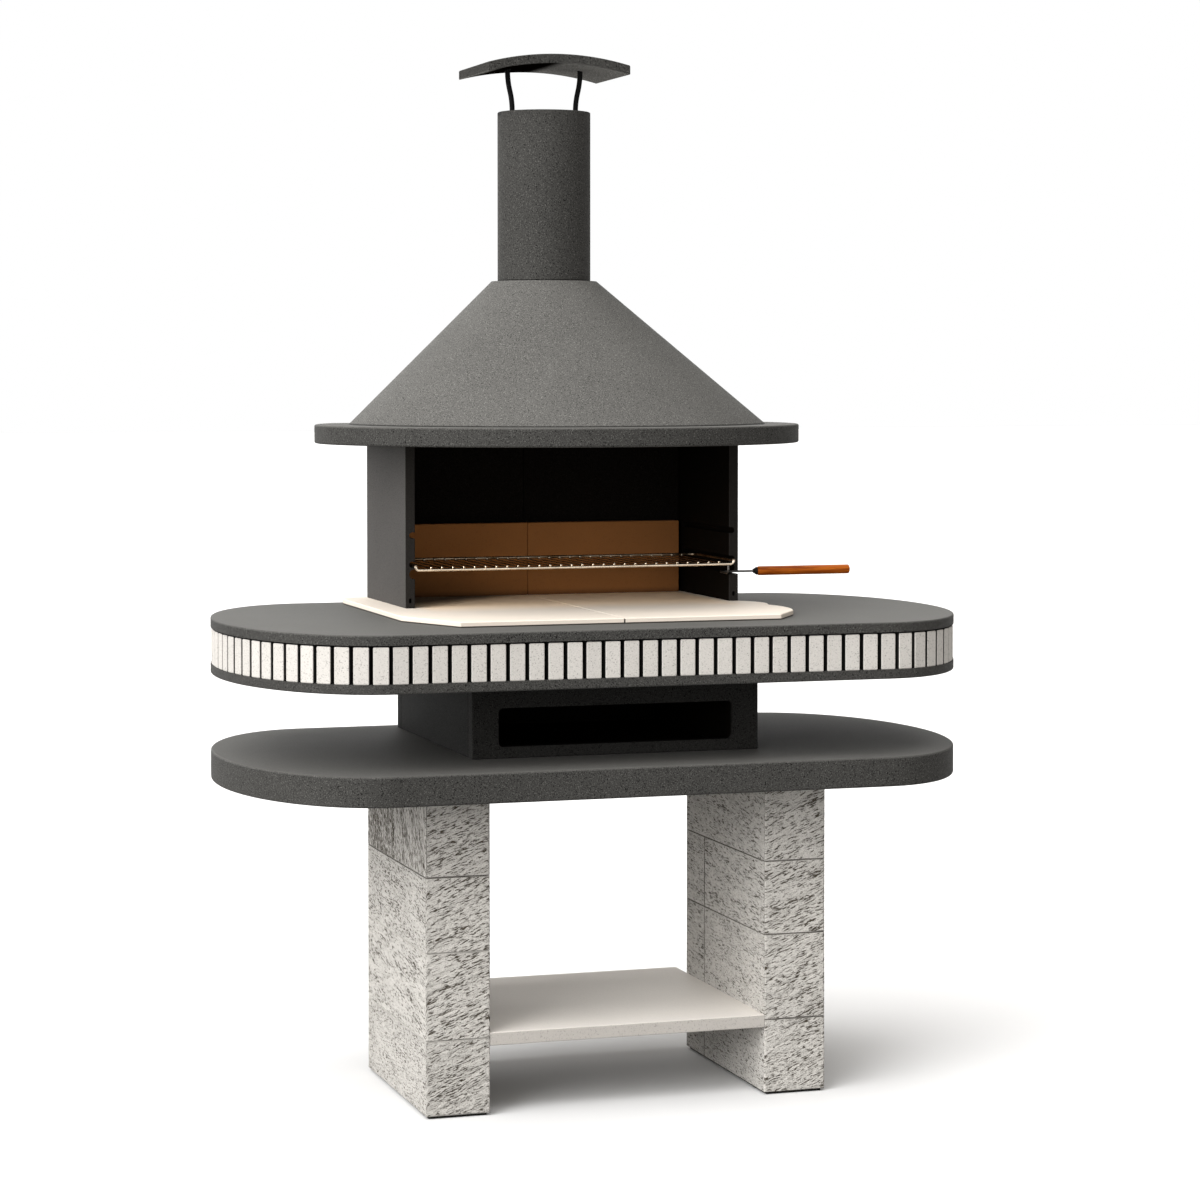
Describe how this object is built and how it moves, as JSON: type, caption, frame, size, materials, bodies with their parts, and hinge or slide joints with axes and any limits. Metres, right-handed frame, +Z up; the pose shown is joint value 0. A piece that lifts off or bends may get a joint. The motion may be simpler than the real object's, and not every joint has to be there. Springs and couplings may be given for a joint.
{
  "type": "outdoor fireplace grill",
  "caption": "Masonry garden barbecue on stone pillars, with an oval slatted worktop, an open firebox, a sliding wire grate, a conical hood, a flue and an arched rain cap.",
  "frame": {"origin": "on the ground under the middle of the base slab", "axes": "+X to the handle side, +Y to the back, +Z up"},
  "size_m": [1.5, 0.84, 2.075],
  "materials": {
    "pillar_stone": "split-face stone with chisel marks, matt",
    "pad_stone": "dark levelling slab, matt",
    "shelf_stone": "smooth pale stone, matt",
    "slab_concrete": "anthracite concrete with fine speckle, matt",
    "pedestal_concrete": "anthracite concrete, matt",
    "worktop_concrete": "ground anthracite concrete, satin",
    "core_concrete": "dark concrete, matt",
    "slat_stone": "pale reconstituted stone, matt",
    "hearth_tile": "pale refractory tile, matt",
    "wall_concrete": "smooth dark refractory concrete, matt",
    "back_concrete": "sooty dark concrete, matt",
    "firebrick": "refractory brick, matt",
    "hood_concrete": "anthracite concrete with fine speckle, matt",
    "flue_concrete": "anthracite concrete, matt",
    "cap_steel": "black painted steel",
    "grate_steel": "bright plated steel wire",
    "handle_steel": "bare steel rod",
    "ferrule_steel": "blackened steel",
    "handle_wood": "varnished wood"
  },
  "bodies": {
    "frame": {"left_pillar_pad": "pad_stone", "right_pillar_pad": "pad_stone", "left_pillar_block_1": "pillar_stone", "left_pillar_block_2": "pillar_stone", "left_pillar_block_3": "pillar_stone", "left_pillar_block_4_front": "pillar_stone", "left_pillar_block_4_rear": "pillar_stone", "right_pillar_block_1_front": "pillar_stone", "right_pillar_block_1_rear": "pillar_stone", "right_pillar_block_2_front": "pillar_stone", "right_pillar_block_2_rear": "pillar_stone", "right_pillar_block_3_front": "pillar_stone", "right_pillar_block_3_rear": "pillar_stone", "right_pillar_block_4": "pillar_stone", "lower_shelf": "shelf_stone", "base_slab": "slab_concrete", "pedestal_front_panel": "pedestal_concrete", "pedestal_left_panel": "pedestal_concrete", "pedestal_right_panel": "pedestal_concrete", "pedestal_back_panel": "pedestal_concrete", "worktop_bottom_plate": "worktop_concrete", "worktop_top_plate": "worktop_concrete", "worktop_core": "core_concrete", "worktop_slats": "slat_stone", "hearth_left_tile": "hearth_tile", "hearth_right_tile": "hearth_tile", "firebox_left_wall": "wall_concrete", "firebox_right_wall": "wall_concrete", "firebox_back_left_panel": "back_concrete", "firebox_back_right_panel": "back_concrete", "fireback_left_brick": "firebrick", "fireback_right_brick": "firebrick", "hood_rim": "hood_concrete", "hood_cone": "hood_concrete", "cap_plate": "hood_concrete", "flue_pipe": "flue_concrete", "flue_strap": "cap_steel", "cap_left_post": "cap_steel", "cap_right_post": "cap_steel"},
    "grate": {"grate_front_rail": "grate_steel", "grate_frame_rod": "grate_steel", "grate_wires": "grate_steel", "grate_handle_stem": "handle_steel", "grate_handle_ferrule": "ferrule_steel", "grate_handle_grip": "handle_wood"}
  },
  "joints": [
    {"name": "grate_slide", "type": "slide", "parent": "frame", "child": "grate", "axis": [0, -1, 0], "range_m": [0, 0.19]}
  ]
}
